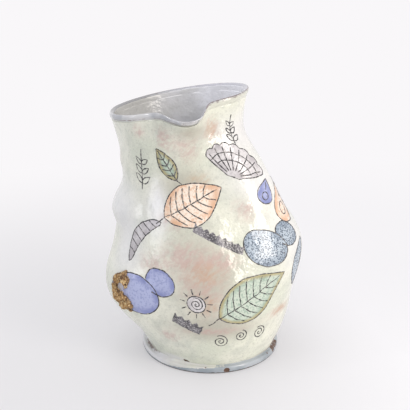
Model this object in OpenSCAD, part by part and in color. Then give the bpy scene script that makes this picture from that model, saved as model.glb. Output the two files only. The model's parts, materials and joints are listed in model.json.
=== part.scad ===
// A hand-altered studio jug. The wall is thrown and luted up in three sections that lean
// to one side, and its lobes are pushed out from the inside. It has a turned foot, a
// rolled rim with a drawn lip, a pulled handle opposite the lip, and a crust of rough clay
// pressed on one lobe.
// The lip faces -Y and the handle +Y. A bearing is in degrees round the jug from the lip,
// and grows towards +X.

/* [Foot] */
// Radius of the turned foot
foot_radius = 70; // [67:1:76]
// Height of the foot
foot_height = 7; // [6:0.5:9]
// Width of the ring that the jug stands on
foot_land = 16; // [12:1:20]
// Rounding of the foot's edges
foot_round = 2; // [1:0.25:2.5]

/* [Wall] */
// Thickness of the thrown wall
wall = 6.5; // [5:0.5:8]
// Thickness of the floor
floor_thickness = 6; // [5:0.5:8]
// How far the foot stands proud of the wall
foot_proud = 4.5; // [3:0.5:7]
// Radius of the belly between its lobes
belly_radius = 88; // [78:1:94]
// Height of the widest part of the belly
belly_height = 90; // [80:1:101]
// Radius of the neck at its waist
waist_radius = 59.5; // [55:0.5:64]
// Height of the waist
waist_height = 210; // [200:1:219]
// Height of the seam between the belly and the shoulder
belly_seam = 111; // [103:1:121]
// Height of the seam between the shoulder and the neck
neck_seam = 183; // [175:1:189]

/* [Rim and lip] */
// Radius of the rim
rim_radius = 67; // [62:1:72]
// Height of the middle of the rim
rim_height = 255; // [247:1:263]
// Height of the rolled rim
rim_roll_height = 6.5; // [5:0.5:8]
// How far the rolled rim stands proud of the wall
rim_roll_proud = 1; // [0.5:0.25:2]
// How far the lip is drawn out
lip_out = 10; // [6:1:14]
// How far the lip is drawn down
lip_drop = 10; // [6:1:12]
// How far each side of the lip is pinched in
lip_pinch = 5; // [2:0.5:7]
// Depth of the lip's trough below the rim
lip_trough = 42; // [34:1:50]

/* [Lean] */
// How far the rim leans to the side of the foot
lean = 30; // [22:1:34]
// How far the wall stands off the middle of the foot, away from the lean
foot_offset = 1; // [0:0.5:2]
// Tilt of the rim in degrees
rim_tilt = 10.1; // [7:0.1:12]

/* [Lobes] */
// Bulge of the small lobe on the left of the neck
left_neck_bulge = 2.5; // [1:0.5:4]
// Bulge of the lobe on the left of the shoulder
left_shoulder_bulge = 9; // [5:0.5:12]
// Bulge of the lobe on the left of the belly
left_belly_bulge = 15; // [10:0.5:19]
// Bulge of the lobe on the right of the shoulder
right_shoulder_bulge = 20; // [14:0.5:24]
// Bulge of the lobe on the right of the belly
right_belly_bulge = 19.5; // [14:0.5:23]
// Bulge of the lobe on the left of the back
back_left_bulge = 11; // [6:0.5:15]
// Bulge of the lobe on the right of the back
back_right_bulge = 11; // [6:0.5:15]

/* [Handle] */
// Width of the pulled handle at its upper root
handle_width = 28; // [24:1:32]
// Thickness of the pulled handle
handle_thickness = 11; // [9:0.5:13]
// How far the handle swings out from its roots
handle_reach = 44; // [38:1:52]
// How far the handle's upper root is below the rim
handle_fall = 36; // [32:1:42]
// Height of the handle's lower root
handle_bottom = 113; // [105:1:123]
// Length of each root, from the wall to the strap
root_length = 9; // [7:0.5:11]

/* [Crust] */
// Length of the crust of rough clay
crust_length = 43; // [36:1:50]
// Width of the crust
crust_width = 18; // [13:1:21]
// Thickness of the crust
crust_thickness = 3.4; // [2.6:0.2:4.2]

/* [Hidden] */

base_radius = foot_radius - foot_proud;
handle_top = rim_height - handle_fall;
slip_gap = 0.3;        // slip left between the wall and a piece luted on it
floor_clearance = 0.5; // gap round the floor, for the lean of the wall
lean_bearing = -101;   // the side that the jug leans to
handle_bearing = 180;
around = 64;           // columns round the wall, which crowd towards the lip
crowding = 20;
belly_rows = 10;
shoulder_rows = 9;
neck_rows = 8;
neck_top = rim_height - rim_roll_height;
columns = [for (i = [0:around - 1]) let (t = 360 * i / around) t - crowding * sin(t)];

glaze_green = "#dde2d3";
glaze_blue = "#b9c6d6";
rough_ochre = "#a87432";

function limit(s) = min(1, max(0, s));
function smooth(s) = let (c = limit(s)) c * c * (3 - 2 * c);
function dome(across_squared) = pow(limit(1 - across_squared), 2);
function between(a, b, s) = a + (b - a) * s;
function apart(a, b) = (a - b + 540) % 360 - 180;
function unit(v) = v / norm(v);
function turned(p, a) = [p[0] * cos(a) - p[1] * sin(a), p[0] * sin(a) + p[1] * cos(a), p[2]];

// Every sheet of points below is a list of rows with the same count of points. A row may
// close on itself, and a face is split along the same diagonal on both pieces of a seam.
function sheet_faces(first, rows, count, closed, flip) =
    [for (k = [0:rows - 2]) for (i = [0:count - (closed ? 1 : 2)])
     let (a = first + k * count + i, b = first + k * count + (i + 1) % count,
          c = b + count, d = a + count)
     each flip ? [[a, b, c], [a, c, d]] : [[a, c, b], [a, d, c]]];
function ring_faces(outer, inner, count, flip) =
    [for (i = [0:count - 1])
     let (a = outer + i, b = outer + (i + 1) % count,
          c = inner + (i + 1) % count, d = inner + i)
     each flip ? [[a, b, c], [a, c, d]] : [[a, c, b], [a, d, c]]];
function fan_faces(first, count, tip, flip) =
    [for (i = [0:count - 1])
     let (a = first + i, b = first + (i + 1) % count)
     flip ? [a, b, tip] : [a, tip, b]];
function flat(rows) = [for (row = rows) each row];

// The thrown wall

function rise(z) = smooth((z - foot_height) / (rim_height - foot_height));

function thrown_radius(z) =
    z < belly_height
    ? between(base_radius, belly_radius,
              sin(90 * (z - foot_height) / (belly_height - foot_height)))
    : z < waist_height
    ? between(belly_radius, waist_radius,
              smooth((z - belly_height) / (waist_height - belly_height)))
    : between(waist_radius, rim_radius,
              pow((z - waist_height) / (rim_height - waist_height), 1.5));

// One lobe a row: its bearing, the height of its middle as a share of the rim's height,
// its half width in degrees, and its half height as a share of the rim's height
lobe_shares = [[-84, 0.644, 36, 0.082], [-76, 0.305, 42, 0.230],
               [48, 0.722, 44, 0.192], [62, 0.490, 50, 0.253],
               [-146, 0.494, 34, 0.192], [138, 0.383, 38, 0.212],
               [-92, 0.811, 34, 0.046]];
lobe_bulges = [left_shoulder_bulge, left_belly_bulge, right_shoulder_bulge,
               right_belly_bulge, back_left_bulge, back_right_bulge,
               left_neck_bulge];
// How softly each lobe's side rises: 2 is soft, and 1 is abrupt
lobe_powers = [1.2, 2, 2, 2, 2, 2, 2];
function lobe(i, bearing, z) =
    let (row = lobe_shares[i],
         across = apart(bearing, row[0]) / row[2],
         up = (z / rim_height - row[1]) / row[3])
    lobe_bulges[i] * pow(limit(1 - across * across - up * up), lobe_powers[i]);
function lobes(bearing, z, i = 0) =
    i == len(lobe_bulges) ? 0 : lobe(i, bearing, z) + lobes(bearing, z, i + 1);

// The lip is drawn steeper on its right side than on its left
lip_half_widths = [27, 16];
pinch_bearings = [-36, 25];
pinch_half_width = 20;
function trough(z) = smooth((z - rim_height + lip_trough) / lip_trough);
function lip(bearing) = dome(pow(bearing / lip_half_widths[bearing > 0 ? 1 : 0], 2));
function pinch(bearing) =
    dome(pow((bearing - pinch_bearings[bearing > 0 ? 1 : 0]) / pinch_half_width, 2));

function outer_radius(bearing, z) =
    let (b = apart(bearing, 0))
    thrown_radius(z) + lobes(b, z) + (lip_out * lip(b) - lip_pinch * pinch(b)) * trough(z);

// The middle of a ring of the wall, along the lean
function ring_middle(z) = between(-foot_offset, lean, rise(z));

// A point at radius r in the tilted ring of the wall at height z
function wall_point(bearing, z, r) =
    let (b = bearing - lean_bearing, tilt = rim_tilt * rise(z),
         fall = lip_drop * lip(apart(bearing, 0)) * pow(trough(z), 2))
    turned([ring_middle(z) + r * cos(b) * cos(tilt), r * sin(b),
            z - r * cos(b) * sin(tilt) - fall], lean_bearing - 90);

// A point on a piece luted to the wall, at a height off the wall's skin
function luted_point(bearing, z, off) =
    wall_point(bearing, z, outer_radius(bearing, z) + slip_gap + off);

module wall_section(z0, z1, rows) {
    heights = [for (k = [0:rows]) between(z0, z1, k / rows)];
    skin = [for (z = heights) [for (t = columns) wall_point(t, z, outer_radius(t, z))]];
    lining = [for (z = heights)
              [for (t = columns) wall_point(t, z, outer_radius(t, z) - wall)]];
    first = (rows + 1) * around;
    top = rows * around;
    polyhedron(flat(concat(skin, lining)),
               concat(sheet_faces(0, rows + 1, around, true, false),
                      sheet_faces(first, rows + 1, around, true, true),
                      ring_faces(0, first, around, true),
                      ring_faces(top, first + top, around, false)));
}

module belly_wall() {
    color(glaze_green) wall_section(foot_height, belly_seam, belly_rows);
}

module shoulder_wall() {
    color(glaze_green) wall_section(belly_seam, neck_seam, shoulder_rows);
}

module neck_collar() {
    color(glaze_green) wall_section(neck_seam, neck_top, neck_rows);
}

// The rolled rim sits on the collar's end face and is an oval bead above it
bead_points = 9;
bead_sweep = 240;
module rim_roll() {
    half = wall / 2 + rim_roll_proud;
    bead = [for (k = [0:bead_points - 1])
            let (t = (180 - bead_sweep) / 2 + bead_sweep * k / (bead_points - 1))
            [half * cos(t), rim_roll_height * (1 + sin(t)) / 2]];
    section = concat([[-wall / 2, 0], [wall / 2, 0]], bead);
    rows = [for (t = columns) [for (p = section)
            wall_point(t, neck_top + p[1],
                       outer_radius(t, neck_top + p[1]) - wall / 2 + p[0])]];
    color(glaze_blue)
        polyhedron(flat(concat(rows, [rows[0]])),
                   sheet_faces(0, around + 1, len(section), true, true));
}

// The turned foot and the floor

arc_steps = 3;
round_steps = 96;
function corner(x, y, r, from) =
    [for (k = [0:arc_steps]) let (t = from + 90 * k / arc_steps)
     [x + r * cos(t), y + r * sin(t)]];

module foot_ring() {
    inner = foot_radius - foot_land;
    color(glaze_blue) rotate_extrude($fn = round_steps)
        polygon(concat(
            corner(foot_radius - foot_round, foot_round, foot_round, -90),
            corner(foot_radius - foot_round, foot_height - foot_round, foot_round, 0),
            [[inner, foot_height]],
            corner(inner + foot_round, foot_round, foot_round, 180)));
}

// The floor stands on the foot inside the wall
floor_top = foot_height + floor_thickness;
function floor_edge(z) = thrown_radius(z) - wall - floor_clearance;
module floor_disc() {
    color(glaze_blue)
        translate(turned([ring_middle(foot_height), 0, 0], lean_bearing - 90))
        rotate_extrude($fn = round_steps)
        polygon([[0, foot_height], [floor_edge(foot_height), foot_height],
                 [floor_edge(floor_top), floor_top], [0, floor_top]]);
}

// A coil of clay is worked into the corner between the floor and the wall
fillet_cove = 5;
fillet_edge = 2;
module floor_fillet() {
    brim = floor_top + fillet_cove;
    inset = floor_edge(brim) - fillet_edge - fillet_cove;
    cove = [for (k = [0:arc_steps]) let (t = 90 * k / arc_steps)
            [inset + fillet_cove * cos(t), floor_top + fillet_cove * (1 - sin(t))]];
    color(glaze_blue)
        translate(turned([ring_middle(foot_height), 0, 0], lean_bearing - 90))
        rotate_extrude($fn = round_steps)
        polygon(concat([[floor_edge(floor_top), floor_top], [floor_edge(brim), brim]],
                       cove));
}

// The pulled handle

strap_points = 16;
strap_steps = 24;
strap_taper_share = 0.82;
groove_share = 0.22;
spring_share = 0.14;
droop_share = 0.32;
outwards = turned([0, -1, 0], handle_bearing);
function root_seat(z) = luted_point(handle_bearing, z, 0);
upper_end = root_seat(handle_top) + outwards * root_length;
lower_end = root_seat(handle_bottom) + outwards * root_length;
fallway = unit(lower_end - upper_end);
sideways = unit(cross(outwards, fallway));
handle_drop = norm(lower_end - upper_end);

// The strap's middle line leaves the upper root rising, and comes back to the lower root
strap_bend = [upper_end,
              upper_end + outwards * handle_reach
              - fallway * handle_drop * spring_share,
              lower_end + outwards * handle_reach
              - fallway * handle_drop * droop_share,
              lower_end];
function strap_middle(s) =
    let (q = 1 - s)
    strap_bend[0] * q * q * q + strap_bend[1] * 3 * q * q * s
    + strap_bend[2] * 3 * q * s * s + strap_bend[3] * s * s * s;
function strap_run(s) =
    let (q = 1 - s)
    unit((strap_bend[1] - strap_bend[0]) * q * q
         + (strap_bend[2] - strap_bend[1]) * 2 * q * s
         + (strap_bend[3] - strap_bend[2]) * s * s);

// An oval with the potter's thumb groove down its back
function strap_ring(s) =
    let (run = strap_run(s), back = unit(cross(run, sideways)),
         taper = between(1, strap_taper_share, s),
         half_width = handle_width * taper / 2,
         half_thickness = handle_thickness * taper / 2)
    [for (k = [0:strap_points - 1])
     let (t = 360 * k / strap_points,
          groove = t < 180 ? groove_share * dome(pow(2 * cos(t), 2)) : 0)
     strap_middle(s) + sideways * half_width * cos(t)
     + back * half_thickness * sin(t) * (1 - groove)];

module handle_strap() {
    rows = [for (k = [0:strap_steps]) strap_ring(k / strap_steps)];
    tips = [strap_middle(0), strap_middle(1)];
    last = strap_steps * strap_points;
    count = (strap_steps + 1) * strap_points;
    color(glaze_green)
        polyhedron(concat(flat(rows), tips),
                   concat(sheet_faces(0, strap_steps + 1, strap_points, true, false),
                          fan_faces(0, strap_points, count, true),
                          fan_faces(last, strap_points, count + 1, false)));
}

// A root spreads from the strap's end section to a wider print on the wall
root_rings = 4;
print_rings = 3;
root_spread_share = 1.5;
root_stretch_share = 2;
function print_point(ring, middle, height, share) =
    [for (p = ring)
     let (aside = (p - middle) * sideways * root_spread_share * share,
          up = (p - middle)[2] * root_stretch_share * root_spread_share * share,
          z = height + up,
          r = outer_radius(handle_bearing, z))
     luted_point(handle_bearing + aside * 180 / (PI * r), z, 0)];
module handle_root(height, s) {
    ring = strap_ring(s);
    middle = strap_middle(s);
    print = print_point(ring, middle, height, 1);
    flare = [for (k = [0:root_rings])
             let (u = k / root_rings)
             [for (i = [0:strap_points - 1])
              let (deep = outwards * (ring[i] * outwards),
                   lie = outwards * (print[i] * outwards))
              between(lie, deep, u) + between(ring[i] - deep, print[i] - lie,
                                              (1 - u) * (1 - u))]];
    face = [for (k = [1:print_rings - 1])
            print_point(ring, middle, height, k / print_rings)];
    tips = [root_seat(height), middle];
    first = (print_rings - 1) * strap_points;
    last = first + root_rings * strap_points;
    count = last + strap_points;
    color(glaze_green)
        polyhedron(concat(flat(face), flat(flare), tips),
                   concat(sheet_faces(0, print_rings + root_rings, strap_points, true,
                                      s > 0),
                          fan_faces(0, strap_points, count, s == 0),
                          fan_faces(last, strap_points, count + 1, s > 0)));
}

module upper_handle_root() { handle_root(handle_top, 0); }

module lower_handle_root() { handle_root(handle_bottom, 1); }

// The crust of rough clay follows a bowed line across the left lobe of the belly. It is two
// pats of clay pressed into each other, so it is narrower in the middle.
crust_bearing = -51;
crust_height_share = 0.338;
crust_bow = 118;
crust_steps = [26, 8];
crust_lumps = [5, 2];
edge_share = 0.2;
tip_share = 0.2;
waist_share = 0.34;
waist_reach_share = 0.55;
lump_share = 0.2;
module ochre_crust() {
    middle = crust_height_share * rim_height;
    bow_radius = crust_length * 180 / (PI * crust_bow);
    rows = [for (j = [0:crust_steps[1]]) [for (i = [0:crust_steps[0]])
            let (u = i / crust_steps[0], v = j / crust_steps[1],
                 t = 180 + crust_bow * (0.5 - u),
                 waisted = 1 - waist_share * dome(pow((2 * u - 1) / waist_reach_share, 2)),
                 across = crust_width * (v - 0.5) * waisted
                          * sqrt(between(tip_share, 1, sin(180 * u))),
                 aside = (bow_radius + across) * cos(t),
                 z = middle + (bow_radius + across) * sin(t),
                 bearing = crust_bearing + aside * 180 / (PI * belly_radius),
                 edge = limit(sin(180 * u) * sin(180 * v) * 3),
                 lump = sin(360 * crust_lumps[0] * u) * sin(360 * crust_lumps[1] * v + 90))
            [bearing, z, crust_thickness
             * between(edge_share, 1 - lump_share + lump_share * lump, edge)]]];
    top = [for (row = rows) [for (p = row) luted_point(p[0], p[1], p[2])]];
    seat = [for (row = rows) [for (p = row) luted_point(p[0], p[1], 0)]];
    count = crust_steps[0] + 1;
    first = count * (crust_steps[1] + 1);
    rim = concat([for (i = [0:crust_steps[0]]) i],
                 [for (j = [1:crust_steps[1]]) j * count + crust_steps[0]],
                 [for (i = [crust_steps[0] - 1:-1:0]) crust_steps[1] * count + i],
                 [for (j = [crust_steps[1] - 1:-1:1]) j * count]);
    color(rough_ochre)
        polyhedron(concat(flat(top), flat(seat)),
                   concat(sheet_faces(0, crust_steps[1] + 1, count, false, false),
                          sheet_faces(first, crust_steps[1] + 1, count, false, true),
                          [for (k = [0:len(rim) - 1])
                           let (a = rim[k], b = rim[(k + 1) % len(rim)])
                           each [[a, b, b + first], [a, b + first, a + first]]]));
}

foot_ring();
floor_disc();
floor_fillet();
belly_wall();
shoulder_wall();
neck_collar();
rim_roll();
upper_handle_root();
handle_strap();
lower_handle_root();
ochre_crust();
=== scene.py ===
"""A hand-altered studio jug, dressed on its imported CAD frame.

The lip faces -Y and the handle +Y. A bearing is in degrees round the jug from the lip, and
grows towards +X. Sizes are in metres, as in the frame.
"""

import contextlib
import json
import math

import bmesh
import bpy
import numpy as np
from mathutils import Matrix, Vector, noise
from mathutils.bvhtree import BVHTree

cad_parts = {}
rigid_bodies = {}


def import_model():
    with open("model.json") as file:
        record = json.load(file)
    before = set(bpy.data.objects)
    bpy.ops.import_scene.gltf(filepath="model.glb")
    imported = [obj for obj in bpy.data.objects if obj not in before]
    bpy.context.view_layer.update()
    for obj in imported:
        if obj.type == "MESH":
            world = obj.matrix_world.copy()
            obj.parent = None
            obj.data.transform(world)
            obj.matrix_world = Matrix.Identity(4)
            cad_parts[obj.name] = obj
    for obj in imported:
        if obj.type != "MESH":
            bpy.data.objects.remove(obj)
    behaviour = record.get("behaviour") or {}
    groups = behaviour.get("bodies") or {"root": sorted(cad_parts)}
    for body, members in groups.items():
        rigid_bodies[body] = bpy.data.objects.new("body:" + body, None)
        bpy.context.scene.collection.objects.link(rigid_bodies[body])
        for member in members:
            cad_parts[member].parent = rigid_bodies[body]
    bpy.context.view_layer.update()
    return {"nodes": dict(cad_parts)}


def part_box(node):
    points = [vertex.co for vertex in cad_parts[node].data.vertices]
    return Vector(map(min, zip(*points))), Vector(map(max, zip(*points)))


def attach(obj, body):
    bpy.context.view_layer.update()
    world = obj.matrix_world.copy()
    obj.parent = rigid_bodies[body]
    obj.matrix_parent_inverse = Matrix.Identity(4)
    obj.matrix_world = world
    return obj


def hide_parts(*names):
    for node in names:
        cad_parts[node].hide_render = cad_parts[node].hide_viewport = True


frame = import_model()

# The thrown wall: three sections of white stoneware, thrown apart, luted with slip and
# pushed out from inside while soft. The CAD sections are merged into one skin, so that the
# surface runs smoothly over their seams, and then parted again. The sizes down to the lean's
# bearing are the CAD's.
MM = 0.001
FOOT_HEIGHT = 7 * MM
RIM_HEIGHT = 255 * MM
LEAN = 30 * MM
FOOT_OFFSET = 1 * MM
LEAN_BEARING = -101
WALL_SECTIONS = ["belly_wall", "shoulder_wall", "neck_collar"]
THINNED_FROM = 190 * MM
THINNED_OVER = 36 * MM
THINNED_BY = 2.8 * MM
THINNED_DEPTH = 5 * MM


def lean_middle(height):
    """Returns the x and y of the wall's middle line at a height, which may be an array."""
    share = np.clip((height - FOOT_HEIGHT) / (RIM_HEIGHT - FOOT_HEIGHT), 0, 1)
    off = -FOOT_OFFSET + (LEAN + FOOT_OFFSET) * share * share * (3 - 2 * share)
    way = math.radians(LEAN_BEARING - 90)
    return off * math.cos(way), off * math.sin(way)


@contextlib.contextmanager
def edit_mode():
    """Opens the active mesh for its operators, and closes it after them."""
    bpy.ops.object.mode_set(mode="EDIT")
    yield
    bpy.ops.object.mode_set(mode="OBJECT")


def modify(obj, kind, **settings):
    """Applies a modifier with its settings to the active object."""
    made = obj.modifiers.new(kind.lower(), kind)
    for name, value in settings.items():
        setattr(made, name, value)
    bpy.ops.object.modifier_apply(modifier=made.name)


def select_only(obj):
    """Selects that object alone and makes it the active one."""
    bpy.ops.object.select_all(action="DESELECT")
    obj.select_set(True)
    bpy.context.view_layer.objects.active = obj


def select_none(kind):
    """Deselects all of the active mesh, so that faces or edges can be picked in code."""
    with edit_mode():
        bpy.ops.mesh.select_mode(type=kind)
        bpy.ops.mesh.select_all(action="DESELECT")


def copy_of(node, name):
    """Copies a CAD node's mesh to a new object, and leaves only that object selected."""
    made = bpy.data.objects.new(name, frame["nodes"][node].data.copy())
    made.data.materials.clear()
    bpy.context.collection.objects.link(made)
    select_only(made)
    return made


def weld(to_quads):
    """Welds the active CAD copy's loose triangles, and makes them quads where asked to."""
    with edit_mode():
        bpy.ops.mesh.select_all(action="SELECT")
        bpy.ops.mesh.remove_doubles(threshold=0.01 * MM)
        if to_quads:
            bpy.ops.mesh.tris_convert_to_quads(face_threshold=math.pi, shape_threshold=math.pi)


def crease_and_subdivide(obj, levels, sharp_degrees):
    """Keeps the edges over that angle crisp, and rounds the rest."""
    select_none("EDGE")
    with edit_mode():
        bpy.ops.mesh.edges_select_sharp(sharpness=math.radians(sharp_degrees))
        bpy.ops.transform.edge_crease(value=1)
    modify(obj, "SUBSURF", levels=levels, render_levels=levels)


def smooth(under_degrees):
    """Shades the active object smoothly over the edges under that angle."""
    bpy.ops.object.shade_smooth_by_angle(angle=math.radians(under_degrees))


def tree_of(obj):
    """Returns the object's mesh as it is now, for rays and nearest points."""
    return BVHTree.FromPolygons([vertex.co for vertex in obj.data.vertices],
                                [face.vertices for face in obj.data.polygons])


def read(items, name):
    """Returns what each vertex or face holds under that name, as rows of three."""
    values = np.zeros(len(items) * 3)
    items.foreach_get(name, values)
    return values.reshape(-1, 3)


def mark(obj, marks):
    """Gives each vertex its numbers, under their names, for the materials to read."""
    for name, values in marks.items():
        obj.data.attributes.new(name, "FLOAT", "POINT").data.foreach_set(
            "value", np.array(values, np.float32))


sections = []
for index, node in enumerate(WALL_SECTIONS):
    section = copy_of(node, node + "_glazed")
    own = section.data.attributes.new("section", "INT", "FACE")
    own.data.foreach_set("value", np.full(len(section.data.polygons), index, np.int32))
    sections.append(section)
for section in sections:
    section.select_set(True)
wall = sections[0]
bpy.context.view_layer.objects.active = wall
bpy.ops.object.join()
wall.name = "thrown_wall"
weld(to_quads=False)

# the end faces inside each seam go
shell = bmesh.new()
shell.from_mesh(wall.data)
layer = shell.faces.layers.int["section"]
on_seam = {vertex for vertex in shell.verts
           if len({face[layer] for face in vertex.link_faces}) > 1}
inner = [face for face in shell.faces if all(vertex in on_seam for vertex in face.verts)]
bmesh.ops.delete(shell, geom=inner, context="FACES")
shell.to_mesh(wall.data)
shell.free()
weld(to_quads=True)
crease_and_subdivide(wall, levels=3, sharp_degrees=55)

# towards the rim the wall was drawn thinner from the inside
unthinned = tree_of(wall)
for vertex in wall.data.vertices:
    share = min(1, max(0, (vertex.co.z - THINNED_FROM) / THINNED_OVER))
    if share > 0:
        # the inside face is looked for 1 mm lower down, where the rim's end isn't missed
        below = vertex.co.z - MM
        middle = Vector((*lean_middle(below), below))
        way = Vector((vertex.co.x - middle.x, vertex.co.y - middle.y, 0))
        far = unthinned.ray_cast(middle, way.normalized())[3]
        if far is not None:
            # 1 on the inside face and 0 on the outside one
            depth = min(1, max(0, 1 - (way.length - far) / THINNED_DEPTH))
            vertex.co += way.normalized() * THINNED_BY * depth * share * share * (3 - 2 * share)

# the fingers that pressed the wall out left it slightly uneven
pressed = bpy.data.textures.new("pressed", "CLOUDS")
pressed.noise_scale = 34 * MM
modify(wall, "DISPLACE", texture=pressed, strength=1.5 * MM)

# The drawing on the wall: leaves, pods, drops and pebbles, brushed in coloured slip and
# drawn round with a charcoal line, all under the glaze. A motif is laid out in its own
# millimetres, x to the right and y up, and is then placed by bearing, height and turn.
CLEAR_OF_JUG = 0.2
skin = tree_of(wall)


def on_wall(bearing, height):
    """Returns the point and normal of the wall's outside, and its distance from the middle."""
    way = math.radians(bearing - 90)
    out = Vector((math.cos(way), math.sin(way), 0))
    middle = Vector((*lean_middle(height), height))
    point, normal, _, far = skin.ray_cast(middle + out * CLEAR_OF_JUG, -out)
    return point, normal, CLEAR_OF_JUG - far


def polar(radius, turn):
    """Points round the origin, by their distance from it and turn in radians."""
    return np.stack([radius * np.cos(turn), radius * np.sin(turn)], 1)


def oval(length, width, points=40):
    """An oval about the origin, longest along x."""
    turn = np.linspace(0, 2 * math.pi, points, endpoint=False)
    return np.stack([length / 2 * np.cos(turn), width / 2 * np.sin(turn)], 1)


def leaf(length, width, points=20):
    """A pointed leaf along x, fuller towards its stalk at the left."""
    along = np.linspace(0, 1, points)
    half = width / 2 * np.sin(math.pi * along ** 0.8) ** 0.9
    x = (along - 0.5) * length
    return np.concatenate([np.stack([x, half], 1), np.stack([x, -half], 1)[-2:0:-1]])


def drop(length, width, points=40):
    """A drop along x, round at the left and pointed at the right."""
    turn = np.linspace(0, 2 * math.pi, points, endpoint=False)
    return np.stack([length / 2 * np.cos(turn),
                     width / 2 * np.sin(turn) * np.sin(turn / 2) ** 1.1 * 1.25], 1)


def crescent(length, width, bow, points=24):
    """A sickle along x, bowed upwards."""
    along = np.linspace(-1, 1, points)
    spine = bow * (1 - along ** 2)
    half = width / 2 * np.sqrt(np.clip(1 - along ** 2, 0, 1))
    x = along * length / 2
    return np.concatenate([np.stack([x, spine + half], 1),
                           np.stack([x, spine - half], 1)[-2:0:-1]])


def fan(radius, scallops=7, points=6):
    """A scallop shell's outline, its hinge at the origin and its rim upwards."""
    turn = np.linspace(math.radians(20), math.radians(160), scallops * points + 1)
    swell = radius * (0.93 + 0.07 * np.abs(np.sin((turn - turn[0]) * scallops * 180 / 140)))
    return np.concatenate([polar(swell, turn), [[-radius * 0.16, 0], [radius * 0.16, 0]]])


def saw(length, width, teeth):
    """A toothed bar along x."""
    x = np.linspace(-length / 2, length / 2, 2 * teeth + 1)
    y = np.where(np.arange(2 * teeth + 1) % 2 == 0, width / 2, width / 5)
    return np.concatenate([np.stack([x, y], 1), [[length / 2, -width / 2],
                                                 [-length / 2, -width / 2]]])


def line(*points):
    """A stroke through the points given."""
    return np.array(points, float)


def arc(radius, start, stop, points=16):
    """Part of a circle about the origin, between two angles in degrees."""
    return polar(radius, np.radians(np.linspace(start, stop, points)))


def spiral(radius, rounds, points=40):
    """A spiral that opens from the origin to its radius."""
    along = np.linspace(0, 1, points)
    return polar(radius * along, 2 * math.pi * rounds * along)


def closed(outline):
    """An outline as a stroke that ends where it starts."""
    return np.concatenate([outline, outline[:1]])


def spun(points, degrees):
    """The points turned about the origin."""
    c, s = math.cos(math.radians(degrees)), math.sin(math.radians(degrees))
    return np.stack([points[:, 0] * c - points[:, 1] * s, points[:, 0] * s + points[:, 1] * c], 1)


def veined_leaf(colour, length, width, veins=6):
    """A leaf of one slip, with a stalk, a midrib and pairs of bent veins."""
    shape = leaf(length, width)
    lines = [closed(shape), line([-length * 0.66, -2], [-length * 0.5, 0], [length * 0.42, 0])]
    for k in range(veins):
        x = length * (-0.38 + 0.68 * k / veins)
        tip = x + length * 0.13
        reach = 0.42 * width * math.sin(math.pi * (tip / length + 0.5) ** 0.8) ** 0.9
        for side in (1, -1):
            lines.append(line([x, 0], [x + (tip - x) * 0.45, side * reach * 0.6],
                              [tip, side * reach]))
    return {colour: [shape]}, lines


def fan_shell(colour, radius, ribs=8):
    """A scallop shell with its ribs and two growth lines."""
    shape = fan(radius)
    lines = [closed(shape)]
    for k in range(ribs):
        turn = math.radians(28 + 124 * k / (ribs - 1))
        lines.append(polar(radius * np.array([0.2, 0.88]), turn))
    lines += [arc(radius * 0.5, 24, 156), arc(radius * 0.72, 22, 158)]
    return {colour: [shape]}, lines


def ringed_drop(colour, length, width):
    """A drop with an oval eye and a short line towards its point."""
    shape = drop(length, width)
    eye = oval(width * 0.42, width * 0.36) + [-length * 0.2, 0]
    return {colour: [shape]}, [closed(shape), closed(eye), line([length * 0.04, 0],
                                                                [length * 0.34, 0])]


def pebbles(colour, length, width):
    """A big pebble, and a small one half behind it, whose line stops at the big one."""
    place = [length * 0.56, width * 0.44]
    big = oval(length, width)
    small = oval(length * 0.62, width * 0.66) + place
    behind = arc(1, -128, 176) * [length * 0.31, width * 0.33] + place
    return {colour: [big, small]}, [closed(big), behind]


def banded_crescent(colour, length, width, bow, bands=0):
    """A sickle with slanting bands across it."""
    shape = crescent(length, width, bow)
    lines = [closed(shape)]
    for k in range(bands):
        x = length * (-0.34 + 0.68 * k / max(1, bands - 1))
        spine = bow * (1 - (2 * x / length) ** 2)
        half = width / 2 * math.sqrt(1 - (2 * x / length) ** 2)
        lines.append(line([x - 0.8, spine + half], [x + 0.8, spine - half]))
    return {colour: [shape]}, lines


def saw_bar(length, width, teeth):
    """A toothed bar, filled in with the charcoal itself."""
    return {"charcoal": [saw(length, width, teeth)]}, []


def sprig(length, pairs=4):
    """A stalk with pairs of small leaves, in line alone."""
    stalk = np.stack([np.linspace(0, length, 14), 1.8 * np.sin(np.linspace(0, 2.4, 14))], 1)
    lines = [stalk]
    for k in range(pairs):
        size = length * (0.30 - 0.03 * k)
        for side in (1, -1):
            blade = spun(leaf(size, size * 0.46, 9) + [size / 2, 0], 50 * side)
            lines.append(closed(blade + stalk[2 + (10 // pairs) * k]))
    return {}, lines


def rayed_spiral(colour, radius, rays=11):
    """A spiral on a disc of slip, with short rays round it."""
    lines = [closed(oval(radius * 1.3, radius * 1.3)), spiral(radius * 0.5, 2.3)]
    for k in range(rays):
        lines.append(polar(radius * np.array([0.78, 1.15]), 2 * math.pi * k / rays))
    return {colour: [oval(radius * 1.3, radius * 1.3)]}, lines


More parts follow.
